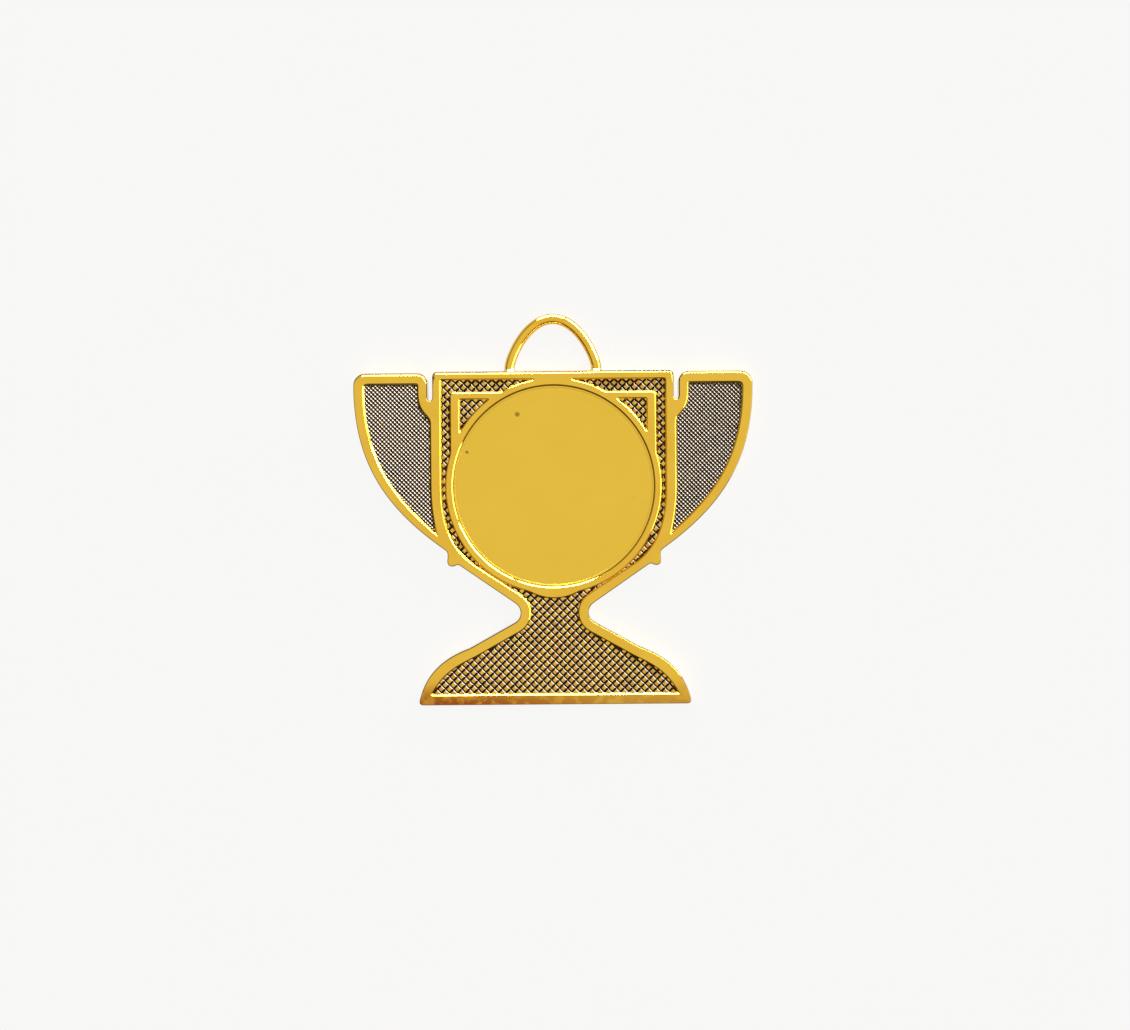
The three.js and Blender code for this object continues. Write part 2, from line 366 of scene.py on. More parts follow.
def mesh_object(
    name: str, vertices: np.ndarray, faces: list[Face], sharp_degrees: float = 60
) -> bpy.types.Object:
    """A mesh object with smooth shading.

    Args:
        name: name of the object and its mesh.
        vertices: corners in millimetres.
        faces: corner numbers of each face, anticlockwise from outside.
        sharp_degrees: edges that turn by more than this stay sharp.

    Returns:
        The object.
    """
    mesh = bpy.data.meshes.new(name)
    mesh.from_pydata((np.asarray(vertices) * MM).tolist(), [], faces)
    mesh.validate()
    mesh.polygons.foreach_set("use_smooth", [True] * len(mesh.polygons))
    mesh.set_sharp_from_angle(angle=math.radians(sharp_degrees))
    return linked(name, mesh)


def band(lower: Sequence[int], upper: Sequence[int]) -> list[Face]:
    """Quads between two closed rows of corners, the second inside the first or above it."""
    return [(lower[i - 1], lower[i], upper[i], upper[i - 1]) for i in range(len(lower))]


def next_row(
    rows: list[np.ndarray],
    faces: list[Face],
    previous: Sequence[int],
    places: np.ndarray,
    height: float,
    outer: bool,
) -> range:
    """Adds a closed row of corners at one height, and the faces between it and the row above.

    Args:
        rows: the corners so far, which the new row joins.
        faces: the faces so far, which the new faces join.
        previous: numbers of the row above.
        places: the new row in the plane.
        height: its height.
        outer: whether the faces look outwards, or into a hole.

    Returns:
        Numbers of the new row.
    """
    start = sum(len(row) for row in rows)
    rows.append(np.column_stack([places, np.full(len(places), height)]))
    now = range(start, start + len(places))
    faces += band(now, previous) if outer else band(previous, now)
    return now


def unit_circle(steps: int) -> np.ndarray:
    """Evenly spaced points round a circle of radius 1."""
    angle = np.arange(steps) / steps * 2 * math.pi
    return np.stack([np.cos(angle), np.sin(angle)], axis=1)


def lathe(name: str, profile: Profile, centre: np.ndarray, segments: int) -> bpy.types.Object:
    """A closed solid of revolution about a line along Z.

    Args:
        name: name of the object.
        profile: radius and height of each corner, from the axis underneath, outwards, to the axis on top.
        centre: where the axis stands.
        segments: facets round the axis.

    Returns:
        The object.
    """
    around = unit_circle(segments)
    rows = [np.array([[*centre, profile[0][1]]])]
    for radius, height in profile[1:-1]:
        rows.append(np.column_stack([centre + radius * around, np.full(segments, height)]))
    rows.append(np.array([[*centre, profile[-1][1]]]))
    rings = [range(1 + i * segments, 1 + (i + 1) * segments) for i in range(len(profile) - 2)]
    lowest, highest = rings[0], rings[-1]
    faces = [(0, lowest[i], lowest[i - 1]) for i in range(segments)]
    for lower, upper in zip(rings, rings[1:]):
        faces += band(lower, upper)
    faces += [(highest[i - 1], highest[i], highest.stop) for i in range(segments)]
    return mesh_object(name, np.concatenate(rows), faces)


def tube(name: str, rows: list[np.ndarray]) -> bpy.types.Object:
    """A closed tube through rings of corners, with a flat face at either end.

    Args:
        name: name of the object.
        rows: the corners of each ring, in millimetres.

    Returns:
        The object.
    """
    count = len(rows[0])
    rings = [range(i * count, (i + 1) * count) for i in range(len(rows))]
    faces = [tuple(rings[0]), tuple(reversed(rings[-1]))]
    for lower, upper in zip(rings, rings[1:]):
        faces += band(upper, lower)
    return mesh_object(name, np.concatenate(rows), faces)


def arc(centre: tuple[float, float], radius: float, start: float, end: float) -> Profile:
    """Points of a circular arc in a profile, from one angle to another, both in degrees.

    Args:
        centre: radius and height of its centre.
        radius: the arc's own radius.
        start: angle of its first point.
        end: angle of its last point.

    Returns:
        The points.
    """
    steps = 6
    angles = np.radians(np.linspace(start, end, steps + 1))
    return [(centre[0] + radius * math.cos(a), centre[1] + radius * math.sin(a)) for a in angles]


def dress(piece: bpy.types.Object, material: bpy.types.Material) -> None:
    """Gives a piece its one material."""
    piece.data.materials.clear()
    piece.data.materials.append(material)


def settle(piece: bpy.types.Object, slot: Slot, *nodes: str) -> None:
    """Settles a finished piece: it rides on the part and stands for CAD nodes, which are hidden.

    Args:
        piece: the finished piece.
        slot: not used.
        nodes: the CAD nodes that it stands for.
    """
    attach(piece, BODY)
    if nodes:
        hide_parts(*nodes)
    LOG.info("%s: %d faces", piece.name, len(piece.data.polygons))


# ---- Shader node groups ------------------------------------------------------------------------------


class Nodes:
    """Adds nodes to a tree and links them, in few words."""

    def __init__(self, tree: bpy.types.NodeTree) -> None:
        """Works on one tree."""
        self.tree = tree

    def add(self, kind: str, links: dict | None = None, **settings: object) -> bpy.types.Node:
        """Adds a node.

        Args:
            kind: type name of the node.
            links: an input's name or number, with the socket or the value that it takes.
            settings: attributes of the node.

        Returns:
            The node.
        """
        node = self.tree.nodes.new(kind)
        for key, value in settings.items():
            setattr(node, key, value)
        for key, value in (links or {}).items():
            if isinstance(value, bpy.types.NodeSocket):
                self.tree.links.new(value, node.inputs[key])
            else:
                node.inputs[key].default_value = value
        return node

    def group(self, tree: bpy.types.NodeTree, values: dict[str, object]) -> bpy.types.Node:
        """Adds a shared group and sets its inputs by name.

        Args:
            tree: the shared group.
            values: its inputs' names and values.

        Returns:
            The group node.
        """
        node = self.tree.nodes.new("ShaderNodeGroup")
        node.node_tree = tree
        for key, value in values.items():
            node.inputs[key].default_value = value
        return node

    def place(self) -> bpy.types.NodeSocket:
        """The place on the piece, in metres."""
        return self.add("ShaderNodeTexCoord").outputs["Object"]

    def parts(self, vector: bpy.types.NodeSocket) -> bpy.types.bpy_prop_collection:
        """The X, Y and Z of a vector."""
        return self.add("ShaderNodeSeparateXYZ", {"Vector": vector}).outputs

    def math(self, operation: str, *values: object) -> bpy.types.NodeSocket:
        """The result of a sum on numbers or sockets."""
        return self.add("ShaderNodeMath", dict(enumerate(values)), operation=operation).outputs[0]

    def vector(self, operation: str, first: object, second: object) -> bpy.types.NodeSocket:
        """The result of a sum on two vectors: a length where it is their distance."""
        node = self.add("ShaderNodeVectorMath", {0: first, 1: second}, operation=operation)
        return node.outputs["Value" if operation == "DISTANCE" else "Vector"]

    def noise(self, scale: object, detail: float, roughness: float = 0.5) -> bpy.types.NodeSocket:
        """Cloudy noise over the place on the piece, from about 0.3 to 0.7."""
        links = {"Vector": self.place(), "Scale": scale, "Detail": detail, "Roughness": roughness}
        return self.add("ShaderNodeTexNoise", links).outputs["Fac"]

    def blend(self, factor: object, first: object, second: object) -> bpy.types.NodeSocket:
        """A colour between two colours."""
        node = self.add("ShaderNodeMix", {0: factor, 6: first, 7: second}, data_type="RGBA")
        return node.outputs[2]

    def remap(
        self, value: object, low: float, high: float, to_low: float, to_high: float
    ) -> bpy.types.NodeSocket:
        """A value moved smoothly from one range to another.

        Args:
            value: the value.
            low: start of its range.
            high: end of its range.
            to_low: result at the start.
            to_high: result at the end.

        Returns:
            The result.
        """
        return self.add(
            "ShaderNodeMapRange",
            {"Value": value, "From Min": low, "From Max": high, "To Min": to_low, "To Max": to_high},
            interpolation_type="SMOOTHSTEP",
        ).outputs[0]


def shader_group(
    name: str, inputs: dict[str, object], outputs: dict[str, str]
) -> tuple[bpy.types.NodeTree, "Nodes", bpy.types.Node, bpy.types.Node]:
    """Starts a shader node group.

    Args:
        name: name of the group.
        inputs: each input's name with its default, a number or a colour.
        outputs: each output's name with its kind of socket, Float or Color.

    Returns:
        The group's tree, its helper, its input node and its output node.
    """
    tree = bpy.data.node_groups.new(name, "ShaderNodeTree")
    for key, default in inputs.items():
        kind = "NodeSocketColor" if isinstance(default, tuple) else "NodeSocketFloat"
        tree.interface.new_socket(name=key, in_out="INPUT", socket_type=kind).default_value = default
    for key, kind in outputs.items():
        tree.interface.new_socket(name=key, in_out="OUTPUT", socket_type="NodeSocket" + kind)
    return tree, Nodes(tree), tree.nodes.new("NodeGroupInput"), tree.nodes.new("NodeGroupOutput")


def linear(colour: Colour) -> tuple[float, float, float, float]:
    """A colour of 0 to 255 as the linear colour with alpha that sockets take.

    Args:
        colour: red, green and blue.

    Returns:
        The linear colour.
    """
    shares = [c / 255 for c in colour]
    values = [s / 12.92 if s <= 0.04045 else ((s + 0.055) / 1.055) ** 2.4 for s in shares]
    return (*values, 1.0)


def grain_group() -> bpy.types.NodeTree:
    """Fine orange-peel grain of plated metal: a height, and a roughness that varies with it.

    Returns:
        The group.
    """
    tree, n, start, end = shader_group(
        "Plating grain",
        {"Scale": 4000.0, "Roughness": 0.25, "Variation": 0.05},
        {"Height": "Float", "Roughness": "Float"},
    )
    coarser = 12.0
    fine = n.noise(start.outputs["Scale"], 3.0, 0.6)
    broad = n.noise(n.math("DIVIDE", start.outputs["Scale"], coarser), 2.0)
    swing = n.math("MULTIPLY", n.math("SUBTRACT", broad, 0.5), 2.0)
    rough = n.math("MULTIPLY_ADD", swing, start.outputs["Variation"], start.outputs["Roughness"])
    tree.links.new(fine, end.inputs["Height"])
    tree.links.new(rough, end.inputs["Roughness"])
    return tree


def tone_group() -> bpy.types.NodeTree:
    """Soft clouds of a second tone over a first, as uneven plating has.

    Returns:
        The group.
    """
    tree, n, start, end = shader_group(
        "Plating tone",
        {"Tone": (0.8, 0.5, 0.1, 1.0), "Second tone": (0.6, 0.4, 0.1, 1.0), "Scale": 150.0, "Amount": 0.3},
        {"Color": "Color"},
    )
    cloud_from, cloud_to = 0.42, 0.62
    cloud = n.noise(start.outputs["Scale"], 4.0, 0.55)
    mask = n.math("MULTIPLY", n.remap(cloud, cloud_from, cloud_to, 0.0, 1.0), start.outputs["Amount"])
    mixed = n.blend(mask, start.outputs["Tone"], start.outputs["Second tone"])
    tree.links.new(mixed, end.inputs["Color"])
    return tree


def speck_group() -> bpy.types.NodeTree:
    """Sparse tiny pits: a mask that is 1 in a pit and 0 elsewhere.

    Returns:
        The group.
    """
    tree, n, start, end = shader_group(
        "Casting pits",
        {"Scale": 400.0, "Size": 0.08, "Share": 0.1},
        {"Mask": "Float"},
    )
    cells = n.add("ShaderNodeTexVoronoi", {"Vector": n.place(), "Scale": start.outputs["Scale"]})
    chosen = n.add("ShaderNodeSeparateColor", {"Color": cells.outputs["Color"]}).outputs[0]
    picked = n.math("LESS_THAN", chosen, start.outputs["Share"])
    near = n.math("SUBTRACT", 1.0, n.math("DIVIDE", cells.outputs["Distance"], start.outputs["Size"]))
    mask = n.math("MULTIPLY", picked, n.math("MAXIMUM", near, 0.0))
    tree.links.new(mask, end.inputs["Mask"])
    return tree


@dataclass(frozen=True)
class Groups:
    """The shader node groups that the finishes share."""

    grain: bpy.types.NodeTree = field(default_factory=grain_group)
    tone: bpy.types.NodeTree = field(default_factory=tone_group)
    specks: bpy.types.NodeTree = field(default_factory=speck_group)


# ---- Finishes ----------------------------------------------------------------------------------------


@dataclass(frozen=True)
class Dent:
    """A small round dent at a place in the plane, in millimetres."""

    x: float
    y: float
    radius: float

    def mask(self, n: Nodes) -> bpy.types.NodeSocket:
        """A mask that is 1 in the middle of the dent and falls to 0 at its edge.

        Args:
            n: the material's nodes.

        Returns:
            The mask.
        """
        flat = n.vector("MULTIPLY", n.place(), (1.0, 1.0, 0.0))
        away = n.vector("DISTANCE", flat, (self.x * MM, self.y * MM, 0.0))
        return n.remap(away, self.radius / 2 * MM, self.radius * MM, 1.0, 0.0)


@dataclass(frozen=True)
class LowerLeftTint:
    """A cloudy warm tone that grows stronger towards the lower edge and towards the left, sizes in
    millimetres.
    """

    tone: Colour
    below: float
    reach: float = 3.6
    scale: float = 900.0
    left: float = -14.0
    right: float = 12.0
    right_share: float = 0.5
    thin_share: float = 0.6

    def mask(self, n: Nodes) -> bpy.types.NodeSocket:
        """A mask of how strong the tone is.

        Args:
            n: the material's nodes.

        Returns:
            The mask.
        """
        cloud_from, cloud_to = 0.36, 0.56
        parts = n.parts(n.place())
        low = n.remap(parts["Y"], self.below * MM, (self.below + self.reach) * MM, 1.0, 0.0)
        across = n.remap(parts["X"], self.left * MM, self.right * MM, 1.0, self.right_share)
        cloud = n.remap(n.noise(self.scale, 4.0), cloud_from, cloud_to, self.thin_share, 1.0)
        return n.math("MULTIPLY", n.math("MULTIPLY", low, across), cloud)


@dataclass(frozen=True)
class HollowShade:
    """Painted shade in the hollows: a dark tone between two heights, in millimetres, which fades out above
    and just below them.
    """

    tone: Colour
    low: float
    high: float
    fade_from: float = 0.14
    fade_to: float = 0.06

    def mask(self, n: Nodes) -> bpy.types.NodeSocket:
        """A mask that is 1 where the shade is painted.

        Args:
            n: the material's nodes.

        Returns:
            The mask.
        """
        height = n.parts(n.place())["Z"]
        below = n.remap(height, self.low * MM, self.high * MM, 1.0, 0.0)
        above = n.remap(height, (self.low - self.fade_from) * MM, (self.low - self.fade_to) * MM, 0.0, 1.0)
        return n.math("MULTIPLY", below, above)


@dataclass(frozen=True)
class Finish:
    """A dull finish with two clouded tones and a fine grain."""

    name: str
    tone: Colour
    second_tone: Colour
    roughness: float
    tone_scale: float = 150.0
    tone_amount: float = 0.25
    grain_scale: float = 4000.0
    grain_depth: float = 0.01
    metallic: float = 0.0

    def material(self, groups: Groups) -> bpy.types.Material:
        """Builds the material from the shared node groups.

        Args:
            groups: the shared node groups.

        Returns:
            The material.
        """
        made = bpy.data.materials.new(self.name)
        made.use_nodes = True
        n = Nodes(made.node_tree)
        tones = {
            "Tone": linear(self.tone),
            "Second tone": linear(self.second_tone),
            "Scale": self.tone_scale,
            "Amount": self.tone_amount,
        }
        tone = n.group(groups.tone, tones).outputs["Color"]
        grain = n.group(groups.grain, {"Scale": self.grain_scale, "Roughness": self.roughness}).outputs
        colour, relief = self._detail(n, groups, tone, grain["Height"])
        bump = n.add("ShaderNodeBump", {"Height": relief, "Distance": self.grain_depth * MM})
        shader = made.node_tree.nodes["Principled BSDF"].inputs
        shader["Metallic"].default_value = self.metallic
        links = made.node_tree.links
        links.new(colour, shader["Base Color"])
        links.new(grain["Roughness"], shader["Roughness"])
        links.new(bump.outputs["Normal"], shader["Normal"])
        return made

    def _detail(
        self, n: Nodes, groups: Groups, colour: bpy.types.NodeSocket, grain: bpy.types.NodeSocket
    ) -> tuple[bpy.types.NodeSocket, bpy.types.NodeSocket]:
        """The colour and the relief of the surface: a plain finish adds nothing to them."""
        return colour, grain


@dataclass(frozen=True)
class Metal(Finish):
    """Plated metal; painted shade in its pits, dents, edge line, steep faces and hollows; a cloudy
    lower-left tone.
    """

    grain_depth: float = 0.04
    metallic: float = 1.0
    grain_share: float = 0.05
    pit_share: float = 0.04
    # Dark tone painted as shade in the pits and dents.
    pit_shade_tone: Colour = (70, 48, 24)
    pit_shade: float = 0.6
    # Painted shade on steep faces.
    slope_shade_tone: Colour | None = None
    slope_steep: float = 0.88
    slope_flat: float = 0.97
    # The painted shade line along the edge.
    edge_shade_tone: Colour | None = None
    edge_from: float = 0.1
    edge_to: float = 0.55
    edge_shade: float = 0.93
    lower_left_tint: LowerLeftTint | None = None
    # Painted shade in the hollows.
    hollow_shade: HollowShade | None = None
    dents: tuple[Dent, ...] = ()

    def _detail(
        self, n: Nodes, groups: Groups, colour: bpy.types.NodeSocket, grain: bpy.types.NodeSocket
    ) -> tuple[bpy.types.NodeSocket, bpy.types.NodeSocket]:
        """Adds the metal's own detail.

        Args:
            n: the material's nodes.
            groups: the shared node groups.
            colour: the clouded tone.
            grain: the height of the grain.

        Returns:
            The colour and the relief.
        """
        # The pits and dents sink into the relief, and a dark tone paints shade in them.
        sunk = n.group(groups.specks, {"Share": self.pit_share}).outputs["Mask"]
        for dent in self.dents:
            sunk = n.math("MAXIMUM", sunk, dent.mask(n))
        colour = n.blend(n.math("MULTIPLY", sunk, self.pit_shade), colour, linear(self.pit_shade_tone))
        # Painted shade: steep faces, such as the sides of the pips, take a dark tone.
        if self.slope_shade_tone:
            upward = n.parts(n.add("ShaderNodeTexCoord").outputs["Normal"])["Z"]
            steep = n.remap(upward, self.slope_steep, self.slope_flat, 1.0, 0.0)
            colour = n.blend(steep, colour, linear(self.slope_shade_tone))
        # Painted shade: a dark line along the very edge of the front.
        if self.edge_shade_tone:
            edge = n.add("ShaderNodeAttribute", attribute_name=EDGE).outputs["Fac"]
            line = n.remap(edge, self.edge_from, self.edge_to, 0.0, self.edge_shade)
            colour = n.blend(line, colour, linear(self.edge_shade_tone))
        # The cloudy tone to the lower left, then the painted shade in the hollows.
        for patch in (self.lower_left_tint, self.hollow_shade):
            if patch:
                colour = n.blend(patch.mask(n), colour, linear(patch.tone))
        return colour, n.math("SUBTRACT", n.math("MULTIPLY", grain, self.grain_share), sunk)


# ---- Die-cast plate ----------------------------------------------------------------------------------


@dataclass
class Casting:
    """The die-cast plate: rims, sunk fields with banked walls, bevelled outline, recess and flat back.

    Rows of points follow each edge, at shares of the width of its bevel, bank or rounding, and a flat guard
    row lies beside each. The bevel is widest along the top edge, where it narrows to the right.
    """

    spacing: float = 0.17
    guard: float = 0.05
    bevel_width: float = 0.36
    bevel_drop: float = 0.28
    bevel_ease: float = 0.3
    bevel_rows: Shares = (0, 0.14, 0.27, 0.38, 0.55, 0.7, 0.85, 1)
    plain_bevel: float = 0.27
    right_bevel: float = 0.65
    top_band: float = 1.6
    top_fade: float = 0.8
    right_from: float = 1.0
    right_fade: float = 6.0
    field_depth: float = 0.25
    bank_start: float = -0.02
    bank_end: float = 0.27
    bank_rows: Shares = (0, 0.14, 0.28, 0.5, 0.72, 0.86, 1)
    recess_lining: float = 0.185
    recess_round: float = 0.14
    recess_drop: float = 0.12
    recess_ease: float = 0.25
    recess_rows: Shares = (0, 0.3, 0.7, 1)
    recess_fillet: float = 0.1
    side_start: float = 0.3
    back_round: float = 0.2
    # Width of the painted shade line along the edge.
    line_width: float = 0.17
    sharp_degrees: float = 75
    handles_from: float = 15.0
    knurl_reach: float = 0.85

    def __post_init__(self) -> None:
        """Reads the plate's levels and outlines from its CAD node."""
        coarser = 1.5
        low, high = box_mm("medal_body")
        disc_low, disc_high = box_mm("centre_disc")
        self.top = high[2]
        self.floor = self.top - self.field_depth
        self.recess_floor = box_mm("disc_adhesive")[0][2]
        self.centre = (disc_low[:2] + disc_high[:2]) / 2
        self.outline = rounded(anticlockwise(max(level_loops("medal_body", low[2]), key=len)), self.spacing)
        holes = [loop for loop in level_loops("medal_body", self.top) if area(loop) < 0]
        spread = [np.ptp(np.linalg.norm(loop - self.centre, axis=1)) for loop in holes]
        recess = holes.pop(int(np.argmin(spread)))
        self.recess_radius = float(np.linalg.norm(recess - self.centre, axis=1).max()) - self.recess_lining
        self.fields = [rounded(anticlockwise(loop), self.spacing) for loop in holes]
        self.circle = unit_circle(round(2 * math.pi * self.recess_radius / self.spacing / coarser))

    def _rows(self) -> list[tuple[Loop, float, Kind]]:
        """Rows of points beside each edge, with their distance from it and the kind of edge.

        Returns:
            The rows.
        """
        bevel = [share * self.bevel_width for share in self.bevel_rows]
        bank_width = self.bank_end - self.bank_start
        wall = [self.bank_start + share * bank_width for share in self.bank_rows]
        rounding = [share * self.recess_round for share in self.recess_rows]
        rows = []
        for away in (*bevel, self.bevel_width + self.guard):
            rows.append((self.outline + inward(self.outline) * away, away, Kind.OUTLINE))
        for loop in self.fields:
            for away in (self.bank_start - self.guard, *wall, self.bank_end + self.guard):
                rows.append((loop + inward(loop) * away, away, Kind.FIELD))
        for away in (*rounding, self.recess_round + self.guard):
            rows.append((self.centre + (self.recess_radius + away) * self.circle, away, Kind.RECESS))
        return rows

    def _bevel_share(self, points: np.ndarray) -> np.ndarray:
        """How much of its full width the outer bevel has: all of it along the top edge, less elsewhere.

        Args:
            points: places in the plane.

        Returns:
            The share at each point.
        """
        upper = self.outline[:, 1].max()
        along_top = np.clip((points[:, 1] - upper + self.top_band) / self.top_fade, 0, 1)
        to_right = np.clip((points[:, 0] - self.right_from) / self.right_fade, 0, 1)
        top_share = 1 + (self.right_bevel - 1) * to_right
        return self.plain_bevel + (top_share - self.plain_bevel) * along_top

    def _heights(self, points: np.ndarray, within: np.ndarray) -> np.ndarray:
        """Height of the front surface over each point.

        Args:
            points: places in the plane.
            within: which of them lie inside a sunk field.

        Returns:
            The heights.
        """
        outer = Edges([self.outline]).distance(points)
        wall = Edges(self.fields).distance(points) * np.where(within, 1, -1)
        recess = np.linalg.norm(points - self.centre, axis=1) - self.recess_radius
        bevel = self.bevel_width * self._bevel_share(points)
        drop = self.bevel_drop * bank(1 - outer / bevel, self.bevel_ease)
        drop += self.field_depth * bank((wall - self.bank_start) / (self.bank_end - self.bank_start))
        drop += self.recess_drop * bank(1 - recess / self.recess_round, self.recess_ease)
        return self.top - drop

    def _plan(self) -> tuple[np.ndarray, np.ndarray, list[Face]]:
        """Triangulates the plan of the front between the outline and the recess.

        Returns:
            Points in the plane, which of them lie in a field, and triangles between them.
        """
        cell, true_within, bevel_kept = 0.035, 0.02, 0.7
        edges = {Kind.OUTLINE: Edges([self.outline]), Kind.FIELD: Edges(self.fields)}
        points, within, lines, taken = [], [], [], {}
        for row, away, kind in sorted(self._rows(), key=lambda r: (r[2] is Kind.FIELD, abs(r[1]))):
            keep = np.ones(len(row), bool)
            if kind in edges:
                keep &= np.abs(edges[kind].distance(row) - abs(away)) < true_within
            if kind is Kind.FIELD:
                keep &= edges[Kind.OUTLINE].distance(row) > self.bevel_width * bevel_kept
            numbers = []
            for place, kept in zip(row, keep):
                key = (round(place[0] / cell), round(place[1] / cell))
                near = any(
                    (key[0] + i, key[1] + j) in taken
                    and math.dist(points[taken[key[0] + i, key[1] + j]], place) < cell
                    for i in (-1, 0, 1)
                    for j in (-1, 0, 1)
                )
                if not kept or near:
                    numbers.append(None)
                    continue
                taken[key] = len(points)
                numbers.append(len(points))
                points.append((float(place[0]), float(place[1])))
                within.append(kind is Kind.FIELD and away > 0)
            for first, second in zip(numbers, numbers[1:] + numbers[:1]):
                if first is not None and second is not None:
                    lines.append((first, second))
        result = delaunay_2d_cdt([Vector(p) for p in points], lines, [], 0, 1e-5)
        flat = np.array([tuple(v) for v in result[0]])
        known = np.array([bool(o) and within[o[0]] for o in result[3]])
        middles = flat[np.array(result[2])].mean(axis=1)
        nearest = self.recess_radius * math.cos(math.pi / len(self.circle))
        keep = inside(middles, self.outline)
        keep &= np.linalg.norm(middles - self.centre, axis=1) > nearest
        return flat, known, [tuple(t) for t, k in zip(result[2], keep) if k]

    def build(self, material: bpy.types.Material) -> bpy.types.Object:
        """Builds and dresses the plate.

        Args:
            material: the finish.

        Returns:
            The piece.
        """
        flat, within, faces = self._plan()
        rows = [np.column_stack([flat, self._heights(flat, within)])]
        tree = plane_tree(flat)
        side = [(0.0, self.top - self.bevel_drop - self.side_start), (0.0, self.back_round)]
        for a in np.radians((30, 60, 90)):
            side.append((self.back_round * (1 - math.cos(a)), self.back_round * (1 - math.sin(a))))
        row = nearest_in(tree, self.outline)
        for inset, height in side:
            back = self.outline + inward(self.outline) * inset
            row = next_row(rows, faces, row, back, height, True)
        ring = [(i, (i + 1) % len(back)) for i in range(len(back))]
        result = delaunay_2d_cdt([Vector(p) for p in back], ring, [], 1, 1e-7)
        for triangle in result[2]:
            faces.append(tuple(row[result[3][i][0]] for i in reversed(triangle)))
        row = nearest_in(tree, self.centre + self.recess_radius * self.circle)
        for radius, height in (
            (self.recess_radius, self.recess_floor + self.recess_fillet),
            (self.recess_radius - self.recess_fillet, self.recess_floor),
            (self.recess_radius / 2, self.recess_floor),
        ):
            row = next_row(rows, faces, row, self.centre + radius * self.circle, height, False)
        rows.append(np.array([[*self.centre, self.recess_floor]]))
        faces += [(row[i - 1], row[i], row.stop) for i in range(len(row))]
        piece = mesh_object("medal_body_casting", np.concatenate(rows), faces, self.sharp_degrees)
        self._mark_edge(piece.data)
        dress(piece, material)
        return piece

    def _mark_edge(self, mesh: bpy.types.Mesh) -> None:
        """Gives the mesh an attribute that is 1 at the very edge of the front and 0 a little inside it.

        Args:
            mesh: the plate's mesh.
        """
        # The attribute places the painted shade line along the edge of the front.
        places = np.array([v.co for v in mesh.vertices]) / MM
        away = Edges([self.outline]).distance(places[:, :2])
        on_front = places[:, 2] > self.top - self.bevel_drop - 0.01
        share = np.where(on_front, np.clip(1 - away / self.line_width, 0, 1), 0)
        mesh.attributes.new(EDGE, "FLOAT", "POINT").data.foreach_set("value", share.astype(np.float32))

    def knurl_ground(self, casting: bpy.types.Object, handles: bool) -> bpy.types.Object:
        """The part of the fields' floor that a knurl covers, as a sheet of its own.

        Args:
            casting: the finished plate.
            handles: whether the sheet is that of the two handles, or that of the cup.

        Returns:
            The sheet, still in the scene.
        """
        wanted = [loop for loop in self.fields if (abs(loop[:, 0].mean()) > self.handles_from) == handles]
        vertices = np.array([v.co for v in casting.data.vertices]) / MM
        lowest, highest = self.floor - 0.01, self.floor + self.knurl_reach * self.field_depth
        faces = [
            tuple(p.vertices)
            for p in casting.data.polygons
            if len(p.vertices) == 3 and all(lowest < vertices[i][2] < highest for i in p.vertices)
        ]
        middles = np.array([vertices[list(f)].mean(axis=0)[:2] for f in faces])
        chosen = np.zeros(len(faces), bool)
        for loop in wanted:
            chosen |= inside(middles, loop)
        return mesh_object("knurl_ground", vertices, [f for f, c in zip(faces, chosen) if c])


# ---- Knurl -------------------------------------------------------------------------------------------


